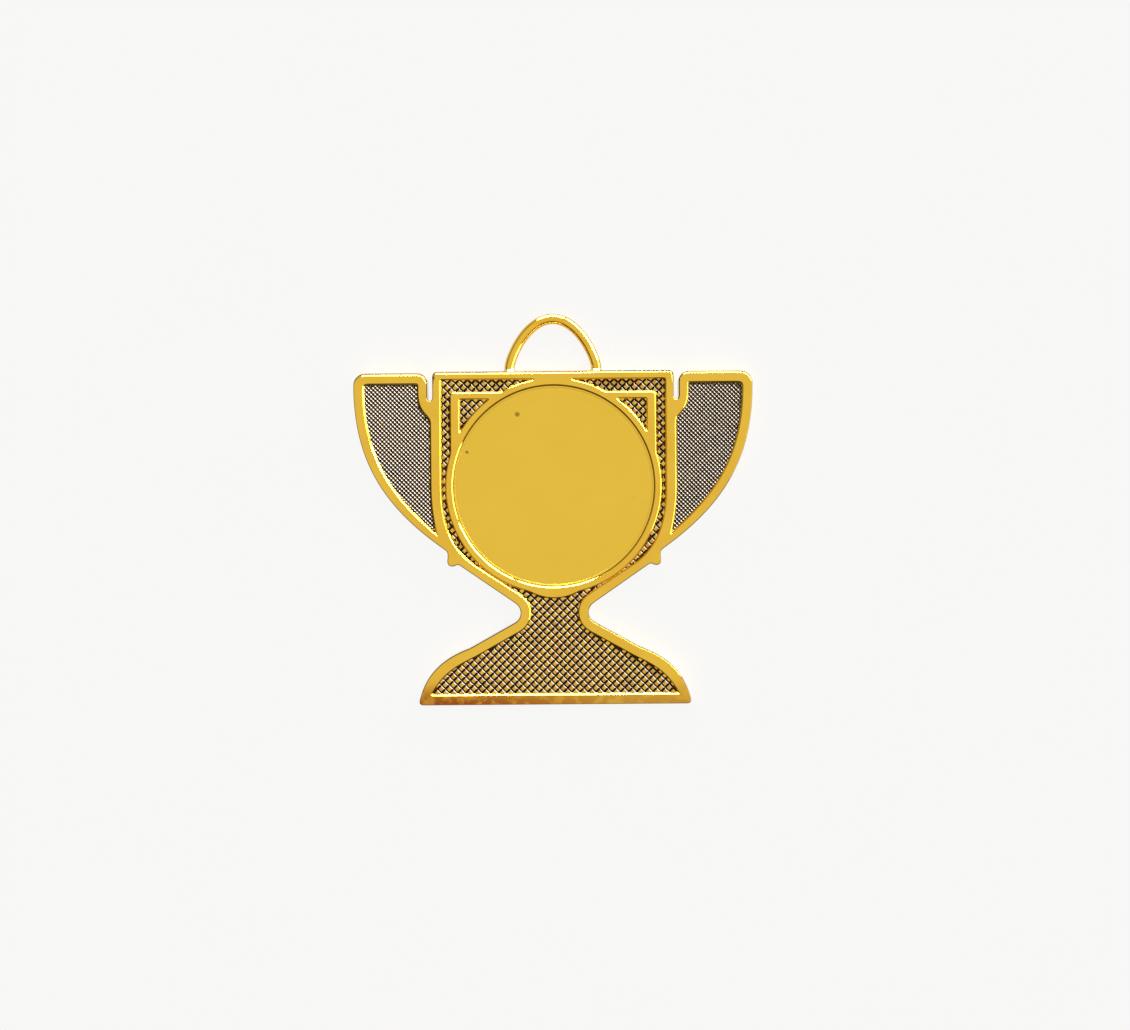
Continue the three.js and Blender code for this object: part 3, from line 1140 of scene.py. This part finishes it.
def knurl_tree() -> bpy.types.NodeTree:
    """Geometry nodes that plant pips on a turned square grid, wherever the grid lies over a sheet.

    Returns:
        The tree.
    """
    tree = bpy.data.node_groups.new("Diamond knurl", "GeometryNodeTree")
    ins = {
        "Sheet": "Geometry",
        "Pitch": "Float",
        "Turn": "Float",
        "Floor": "Float",
        "Unevenness": "Float",
        "Seed": "Int",
        "Pip": "Object",
        "Material": "Material",
    }
    for name, kind in ins.items():
        tree.interface.new_socket(name=name, in_out="INPUT", socket_type="NodeSocket" + kind)
    tree.interface.new_socket(name="Knurl", in_out="OUTPUT", socket_type="NodeSocketGeometry")
    n = Nodes(tree)
    start = tree.nodes.new("NodeGroupInput").outputs
    end = tree.nodes.new("NodeGroupOutput")
    box = n.add("GeometryNodeBoundBox", {"Geometry": start["Sheet"]}).outputs
    span = n.vector("DISTANCE", box["Max"], box["Min"])
    count = n.math("ADD", n.math("CEIL", n.math("DIVIDE", span, start["Pitch"])), 1.0)
    length = n.math("MULTIPLY", n.math("SUBTRACT", count, 1.0), start["Pitch"])
    grid = n.add(
        "GeometryNodeMeshGrid",
        {"Size X": length, "Size Y": length, "Vertices X": count, "Vertices Y": count},
    )
    centre = n.vector("MULTIPLY", n.vector("ADD", box["Max"], box["Min"]), (0.5, 0.5, 0.0))
    lift = 0.01
    above = n.vector("ADD", centre, (0.0, 0.0, lift))
    turn = n.add("ShaderNodeCombineXYZ", {"Z": start["Turn"]}).outputs[0]
    laid = n.add(
        "GeometryNodeTransform",
        {"Geometry": grid.outputs["Mesh"], "Translation": above, "Rotation": turn},
    )
    ray = n.add(
        "GeometryNodeRaycast",
        {"Target Geometry": start["Sheet"], "Ray Direction": (0.0, 0.0, -1.0), "Ray Length": 2 * lift},
    )
    least = n.math("SUBTRACT", 1.0, start["Unevenness"])
    most = n.math("ADD", 1.0, start["Unevenness"])
    vary = n.add("FunctionNodeRandomValue", {2: least, 3: most, "Seed": start["Seed"]}, data_type="FLOAT")
    size = n.add("ShaderNodeCombineXYZ", {"X": 1.0, "Y": 1.0, "Z": vary.outputs[1]}).outputs[0]
    pip = n.add("GeometryNodeObjectInfo", {"Object": start["Pip"]})
    planted = n.add(
        "GeometryNodeInstanceOnPoints",
        {
            "Points": laid.outputs["Geometry"],
            "Selection": ray.outputs["Is Hit"],
            "Instance": pip.outputs["Geometry"],
            "Rotation": turn,
            "Scale": size,
        },
    )
    real = n.add("GeometryNodeRealizeInstances", {"Geometry": planted.outputs["Instances"]})
    drop = n.add("ShaderNodeCombineXYZ", {"Z": n.math("SUBTRACT", start["Floor"], lift)}).outputs[0]
    lowered = n.add(
        "GeometryNodeTransform", {"Geometry": real.outputs["Geometry"], "Translation": drop}
    )
    dressed = n.add(
        "GeometryNodeSetMaterial",
        {"Geometry": lowered.outputs["Geometry"], "Material": start["Material"]},
    )
    tree.links.new(dressed.outputs["Geometry"], end.inputs["Knurl"])
    return tree


@dataclass
class Knurl:
    """A field of small truncated pyramids on a grid turned by an eighth of a turn."""

    name: str
    pitch: float
    width: float
    crown: float
    height: float
    seed: int
    unevenness: float = 0.12
    turn_degrees: float = 45.0
    ease: float = 0.02

    def _pip(self) -> bpy.types.Object:
        """One pip with eased edges, standing at height nought and rooted a little below it.

        Returns:
            The pip.
        """
        root = 0.03
        half, top = self.width / 2, self.crown / 2
        slope = (half - top) / self.height
        foot = half + slope * root
        mesh = bmesh.new()
        corners = [(-1, -1), (1, -1), (1, 1), (-1, 1)]
        low = [mesh.verts.new((x * foot, y * foot, -root)) for x, y in corners]
        high = [mesh.verts.new((x * top, y * top, self.height)) for x, y in corners]
        mesh.faces.new(reversed(low))
        mesh.faces.new(high)
        for i in range(4):
            j = (i + 1) % 4
            mesh.faces.new((low[i], low[j], high[j], high[i]))
        eased = [e for e in mesh.edges if max(v.co.z for v in e.verts) > 0]
        bmesh.ops.bevel(mesh, geom=eased, offset=self.ease, segments=1, affect="EDGES")
        bmesh.ops.scale(mesh, vec=Vector((MM,) * 3), verts=mesh.verts)
        data = bpy.data.meshes.new(self.name + "_pip")
        mesh.to_mesh(data)
        mesh.free()
        return linked(self.name + "_pip", data)

    def build(
        self,
        tree: bpy.types.NodeTree,
        sheet: bpy.types.Object,
        floor: float,
        material: bpy.types.Material,
    ) -> bpy.types.Object:
        """Plants the pips on a sheet.

        Args:
            tree: the shared knurl tree.
            sheet: the ground they stand on, which is used up.
            floor: its height.
            material: their finish.

        Returns:
            The knurl as a plain mesh object.
        """
        pip = self._pip()
        modifier = sheet.modifiers.new("Knurl", "NODES")
        modifier.node_group = tree
        values = {
            "Pitch": self.pitch * MM,
            "Turn": math.radians(self.turn_degrees),
            "Floor": floor * MM,
            "Unevenness": self.unevenness,
            "Seed": self.seed,
            "Pip": pip,
            "Material": material,
        }
        for item in tree.interface.items_tree:
            if item.item_type == "SOCKET" and item.in_out == "INPUT" and item.name in values:
                modifier[item.identifier] = values[item.name]
        graph = bpy.context.evaluated_depsgraph_get()
        graph.update()
        data = bpy.data.meshes.new_from_object(sheet.evaluated_get(graph))
        data.name = self.name
        made = linked(self.name, data)
        sheet.modifiers.remove(modifier)
        for used in (sheet, pip):
            bpy.data.objects.remove(used)
        dress(made, material)
        return made


# ---- Ribbon loop and solder --------------------------------------------------------------------------


@dataclass
class RibbonLoop:
    """The round wire arch with its two legs, and the solder round its feet.

    The wire's thickness wavers a little along its length, and the solder is lumpy round its foot.
    """

    sides: int = 28
    arch_steps: int = 96
    leg_steps: int = 8
    straight: float = 0.6
    lean: float = 1.5
    waver: float = 0.012
    quick_wave: float = 0.55
    slow_wave: float = 0.17
    solder_sides: int = 36
    solder_steps: int = 8
    solder_hug: float = 0.97
    solder_root: float = 0.12
    solder_curve: float = 1.7
    lump: float = 0.3
    creep: float = 0.18

    def __post_init__(self) -> None:
        """Reads the sizes of the loop and of its solder from their CAD nodes."""
        low, high = box_mm("ribbon_loop")
        solder_low, solder_high = box_mm("loop_solder_right")
        self.radius = (high[2] - low[2]) / 2
        self.height = (high[2] + low[2]) / 2
        self.half_span = high[0] - self.radius
        self.crown = high[1] - self.radius
        self.foot = low[1]
        self.edge = solder_low[1]
        self.spring = self.edge + self.straight
        self.collar_radius = (solder_high[2] - solder_low[2]) / 2
        self.collar_height = solder_high[1] - solder_low[1]

    def _centre_line(self) -> np.ndarray:
        """Points along the middle of the wire, from the right foot over the crown to the left foot.

        Returns:
            The points.
        """
        up = np.linspace(self.foot, self.spring, self.leg_steps, endpoint=False)
        angle = np.linspace(0, math.pi, self.arch_steps + 1)
        rise = self.crown - self.spring
        right = np.column_stack([np.full(len(up), self.half_span), up])
        climb = np.clip(np.sin(angle), 0, 1) ** self.lean
        arch = np.column_stack([self.half_span * np.cos(angle), self.spring + rise * climb])
        left = right[::-1] * (-1, 1)
        return np.concatenate([right, arch, left])

    def build(self, material: bpy.types.Material) -> bpy.types.Object:
        """Builds and dresses the wire.

        Args:
            material: the finish.

        Returns:
            The piece.
        """
        line = self._centre_line()
        along = np.gradient(line, axis=0)
        along /= np.linalg.norm(along, axis=1)[:, None]
        out = np.column_stack([along[:, 1], -along[:, 0]])
        across, up = unit_circle(self.sides).T
        rows = []
        for index, (centre, side) in enumerate(zip(line, out)):
            wave = math.sin(index * self.quick_wave) * math.sin(index * self.slow_wave + 1)
            radius = self.radius * (1 - self.waver * (1 + wave))
            rows.append(
                np.column_stack([centre + radius * across[:, None] * side, self.height + radius * up])
            )
        piece = tube("ribbon_loop_wire", rows)
        dress(piece, material)
        return piece

    def solder(
        self, name: str, side: int, seed: float, material: bpy.types.Material
    ) -> bpy.types.Object:
        """Builds and dresses the solder round one foot.

        Args:
            name: name of the piece.
            side: 1 for the right foot, -1 for the left.
            seed: shifts the lumps.
            material: its finish.

        Returns:
            The piece.
        """
        bore = self.radius * self.solder_hug
        reach = self.collar_radius - bore
        profile = [(bore, -self.solder_root)]
        for share in np.linspace(0, 1, self.solder_steps + 1):
            profile.append((bore + reach * (1 - share) ** self.solder_curve, self.collar_height * share))
        angle = np.arange(self.solder_sides) / self.solder_sides * 2 * math.pi
        lumps = 1 - self.lump * (1 - np.sin(3 * angle + seed) * np.sin(2 * angle - seed))
        rises = 1 - self.creep * (1 - np.sin(2 * angle + seed))
        rows = []
        for radius, height in profile:
            grown = bore + (radius - bore) * lumps
            x = side * self.half_span + grown * np.cos(angle)
            rows.append(
                np.column_stack([x, self.edge + height * rises, self.height + grown * np.sin(angle)])
            )
        piece = tube(name, rows)
        dress(piece, material)
        return piece


# ---- Disc and adhesive -------------------------------------------------------------------------------


@dataclass
class CentreDisc:
    """The pressed disc with its thin raised lip and the groove inside it, and the adhesive pad under it."""

    segments: int = 256
    pad_segments: int = 96
    sheet: float = 0.54
    back_bevel: float = 0.08
    lip_width: float = 0.34
    lip_slope: float = 0.17
    lip_round: float = 0.07
    groove: float = 0.05
    groove_width: float = 0.2
    ease: float = 0.02

    def __post_init__(self) -> None:
        """Reads the disc's and the pad's sizes from their CAD nodes."""
        low, high = box_mm("centre_disc")
        pad_low, pad_high = box_mm("disc_adhesive")
        self.centre = (low[:2] + high[:2]) / 2
        self.radius = (high[0] - low[0]) / 2
        self.back, self.lip = low[2], high[2]
        self.face = self.back + self.sheet
        self.pad_low, self.pad_high = pad_low[2], pad_high[2]
        self.pad_radius = (pad_high[0] - pad_low[0]) / 2

    def build(self, material: bpy.types.Material) -> bpy.types.Object:
        """Builds and dresses the disc.

        Args:
            material: the finish.

        Returns:
            The piece.
        """
        crest = self.radius - self.lip_round
        foot = self.radius - self.lip_width
        inner = foot - self.groove_width + self.ease
        dip = self.face - self.groove
        profile = [(0.0, self.back), (self.radius / 2, self.back)]
        profile += [(self.radius - self.back_bevel, self.back), (self.radius, self.back + self.back_bevel)]
        profile += arc((crest, self.lip - self.lip_round), self.lip_round, 0, 90)
        profile += [
            (foot + self.lip_slope, self.lip),
            (foot + self.lip_slope - self.ease, self.lip - 0.1 * (self.lip - self.face)),
            (foot + self.ease, dip + self.ease / 2),
            (foot - self.ease, dip),
            (foot - self.groove_width / 4, dip + self.ease / 2),
            (inner + self.groove_width / 4, self.face - self.ease / 2),
            (inner, self.face),
            (foot - 1.5 * self.groove_width, self.face),
            (self.radius * 0.6, self.face),
            (0.0, self.face),
        ]
        piece = lathe("centre_disc_pressing", profile, self.centre, self.segments)
        dress(piece, material)
        return piece

    def pad(self, material: bpy.types.Material) -> bpy.types.Object:
        """Builds and dresses the adhesive pad, squeezed out into a rounded edge.

        Args:
            material: the finish.

        Returns:
            The piece.
        """
        half = (self.pad_high - self.pad_low) / 2
        within = self.pad_radius * 0.6
        profile = [(0.0, self.pad_low), (within, self.pad_low)]
        profile += arc((self.pad_radius - half, self.pad_low + half), half, -90, 90)
        profile += [(within, self.pad_high), (0.0, self.pad_high)]
        piece = lathe("disc_adhesive_pad", profile, self.centre, self.pad_segments)
        dress(piece, material)
        return piece


# ---- Studio ------------------------------------------------------------------------------------------


@dataclass(frozen=True)
class Window:
    """One tall soft window that only glossy surfaces see, in a direction from +X towards +Y."""

    name: str
    azimuth: float
    radiance: float
    distance: float = 0.5
    width: float = 0.4
    height: float = 0.3
    bottom: float = 0.03

    def hang(self) -> None:
        """Hangs the window upright, facing the medal."""
        light = bpy.data.lights.new(self.name, "AREA")
        light.shape = "RECTANGLE"
        light.size, light.size_y = self.width, self.height
        light.energy = self.radiance * math.pi * self.width * self.height
        light.cycles.max_bounces = 1
        hung = linked(self.name, light)
        angle = math.radians(self.azimuth)
        away = Vector((math.cos(angle), math.sin(angle), 0.0))
        hung.location = away * self.distance + Vector((0.0, 0.0, self.bottom + self.height / 2))
        hung.rotation_euler = away.to_track_quat("Z", "Y").to_euler()
        hung.visible_diffuse = False
        hung.visible_camera = False


@dataclass
class Studio:
    """Pale floor, soft sky, three tall windows to the upper right, and the camera overhead.

    Glossy surfaces see a sky that is white overhead and darker towards the horizon, most of all to the
    lower left. The camera and dull surfaces see it plain white. The medal lies a little left of the middle
    of the view, and a little turned.
    """

    floor_size: float = 6.0
    floor_gap: float = 0.00001
    floor_glow: float = 0.888
    glow_tone: tuple[float, float, float, float] = (1.0, 1.0, 0.99, 1.0)
    bright_side: float = 70.0
    horizon_dark: float = 0.12
    horizon_bright: float = 0.5
    dark_from: float = -0.9
    bright_to: float = 0.6
    overhead_from: float = 0.35
    overhead_to: float = 0.8
    widths_across: float = 2.825
    offset: tuple[float, float] = (0.0278, -0.0163)
    roll_degrees: float = 0.45
    lens: float = 50.0
    sensor: float = 36.0

    def floor(self, groups: Groups) -> None:
        """Lays the floor under the medal.

        Args:
            groups: the shared node groups.
        """
        half = self.floor_size / 2
        height = CAD_BOUNDS[0][2] - self.floor_gap
        corners = [(x * half, y * half, height) for x, y in ((-1, -1), (1, -1), (1, 1), (-1, 1))]
        mesh = bpy.data.meshes.new("floor")
        mesh.from_pydata(corners, [], [(0, 1, 2, 3)])
        ground = linked("floor", mesh)
        paper = Finish("paper", (62, 62, 63), (60, 60, 61), 0.9, 60.0, 0.3, 600.0, 0.002)
        material = paper.material(groups)
        shader = material.node_tree.nodes["Principled BSDF"]
        shader.inputs["Emission Color"].default_value = self.glow_tone
        shader.inputs["Emission Strength"].default_value = self.floor_glow
        shader.inputs["Specular IOR Level"].default_value = 0.0
        dress(ground, material)

    def light(self) -> None:
        """Sets the sky and hangs the windows."""
        scene = bpy.context.scene
        scene.view_settings.view_transform = "Standard"
        scene.world = bpy.data.worlds.new("studio")
        scene.world.use_nodes = True
        n = Nodes(scene.world.node_tree)
        background = n.tree.nodes["Background"]
        toward = n.parts(n.add("ShaderNodeTexCoord").outputs["Generated"])
        side = math.radians(self.bright_side)
        along_x = n.math("MULTIPLY", toward["X"], math.cos(side))
        across = n.math("MULTIPLY_ADD", toward["Y"], math.sin(side), along_x)
        low = n.remap(across, self.dark_from, self.bright_to, self.horizon_dark, self.horizon_bright)
        high = n.remap(toward["Z"], self.overhead_from, self.overhead_to, 0.0, 1.0)
        sky = n.math("MULTIPLY_ADD", low, n.math("SUBTRACT", 1.0, high), high)
        path = n.add("ShaderNodeLightPath").outputs
        plain = n.math("MAXIMUM", path["Is Camera Ray"], path["Is Diffuse Ray"])
        n.tree.links.new(n.math("MAXIMUM", sky, plain), background.inputs["Strength"])
        background.inputs["Color"].default_value = (1.0, 1.0, 1.0, 1.0)
        Window("window_north", azimuth=92, radiance=60.0).hang()
        Window("window_corner", azimuth=45, radiance=60.0).hang()
        Window("window_east", azimuth=-2, radiance=9.6).hang()

    def camera(self) -> None:
        """Sets the camera straight over the medal."""
        low, high = CAD_BOUNDS
        width = high[0] - low[0]
        distance = width * self.widths_across * self.lens / self.sensor
        aside, back = self.offset
        aim = (low + high) / 2 + Vector((aside * width, back * width, (high[2] - low[2]) / 2))
        data = bpy.data.cameras.new("overhead")
        data.lens, data.sensor_width = self.lens, self.sensor
        data.clip_start, data.clip_end = distance / 100, distance * 100
        camera = linked("overhead", data)
        camera.matrix_world = (
            Matrix.Translation(aim)
            @ Matrix.Rotation(math.radians(-self.roll_degrees), 4, "Z")
            @ Matrix.Translation((0, 0, distance))
        )
        bpy.context.scene.camera = camera


# ---- The medal ---------------------------------------------------------------------------------------


GOLD = (228, 184, 64)
DEEP_GOLD = (214, 160, 48)
# Dark tone painted as shade low in the sunk fields.
HOLLOW_SHADE = (46, 30, 14)


def build_plate(groups: Groups) -> None:
    """Builds the die-cast plate and the two knurls in its sunk fields.

    Args:
        groups: the shared node groups.
    """
    casting = Casting()
    floor = casting.floor
    plate = Metal(
        "gold_plate",
        GOLD,
        DEEP_GOLD,
        roughness=0.09,
        # Painted shade line along the plate's edge.
        edge_shade_tone=(58, 40, 22),
        # A cloudy, warm, darker tone towards the lower left of the plate.
        lower_left_tint=LowerLeftTint((150, 70, 26), below=float(casting.outline[:, 1].min())),
        # Painted shade low in the sunk fields, between the pips.
        hollow_shade=HollowShade(HOLLOW_SHADE, floor, floor + 0.08),
    )
    body = casting.build(plate.material(groups))
    tree = knurl_tree()
    fine = Knurl("handle_knurl", pitch=0.38, width=0.37, crown=0.13, height=0.08, seed=3, ease=0.012)
    coarse = Knurl("cup_knurl", pitch=0.72, width=0.68, crown=0.41, height=0.1, seed=7, unevenness=0.16)
    # Painted shade: the fine knurl takes a darker, browner copy of the gold.
    fine_metal = Metal(
        "gold_knurl_fine",
        (150, 122, 70),
        (122, 88, 48),
        roughness=0.07,
        tone_scale=700.0,
        tone_amount=0.7,
        # Painted shade on the pips' steep sides.
        slope_shade_tone=(52, 51, 49),
        # Painted shade between the pips.
        hollow_shade=HollowShade(HOLLOW_SHADE, floor, floor + 0.03),
    )
    coarse_metal = Metal(
        "gold_knurl_coarse",
        (222, 176, 66),
        (186, 128, 56),
        roughness=0.08,
        tone_scale=800.0,
        tone_amount=0.7,
        # Painted shade on the pips' steep sides.
        slope_shade_tone=(38, 38, 37),
        # Painted shade between the pips.
        hollow_shade=HollowShade(HOLLOW_SHADE, floor, floor + 0.04),
    )
    knurls = [
        fine.build(tree, casting.knurl_ground(body, True), floor, fine_metal.material(groups)),
        coarse.build(tree, casting.knurl_ground(body, False), floor, coarse_metal.material(groups)),
    ]
    settle(body, Slot.CASTING, "medal_body")
    for knurl in knurls:
        settle(knurl, Slot.CASTING)


def build_loop(groups: Groups) -> None:
    """Builds the wire loop and the solder at its feet.

    Args:
        groups: the shared node groups.
    """
    loop = RibbonLoop()
    wire = Metal("gold_wire", GOLD, DEEP_GOLD, roughness=0.08, tone_scale=260.0, tone_amount=0.5)
    # Painted highlight: the solder takes a paler tone than the gold, for the whitish glint at the loop's
    # feet.
    joint = Metal("gold_solder", (232, 206, 140), DEEP_GOLD, roughness=0.15, grain_depth=0.2)
    solder = joint.material(groups)
    settle(loop.build(wire.material(groups)), Slot.WIRE, "ribbon_loop")
    settle(loop.solder("loop_solder_bead_left", -1, 0.4, solder), Slot.SOLDER, "loop_solder_left")
    settle(loop.solder("loop_solder_bead_right", 1, 2.1, solder), Slot.SOLDER, "loop_solder_right")


def build_disc(groups: Groups) -> None:
    """Builds the disc, with two small dents in its face, and the adhesive under it.

    Args:
        groups: the shared node groups.
    """
    disc = CentreDisc()
    x, y = disc.centre
    pressing = Metal(
        "gold_disc",
        (225, 185, 64),
        (221, 180, 60),
        roughness=0.16,
        tone_scale=90.0,
        pit_share=0.01,
        # Two dents, sunk into the relief, with painted shade in them.
        dents=(Dent(x - 4.5, y + 9.0, radius=0.4), Dent(x - 10.85, y + 4.3, radius=0.28)),
    )
    pad = Finish("adhesive_pad", (217, 212, 196), (200, 192, 170), 0.7, tone_scale=400.0, tone_amount=0.4)
    settle(disc.build(pressing.material(groups)), Slot.DISC, "centre_disc")
    settle(disc.pad(pad.material(groups)), Slot.ADHESIVE, "disc_adhesive")


def main() -> None:
    """Builds the studio and the medal, piece by piece."""
    logging.basicConfig(level=logging.INFO, format="%(name)s %(message)s", stream=sys.stdout)
    groups = Groups()
    studio = Studio()
    studio.camera()
    studio.floor(groups)
    studio.light()
    build_plate(groups)
    build_loop(groups)
    build_disc(groups)


if __name__ == "__main__":
    main()
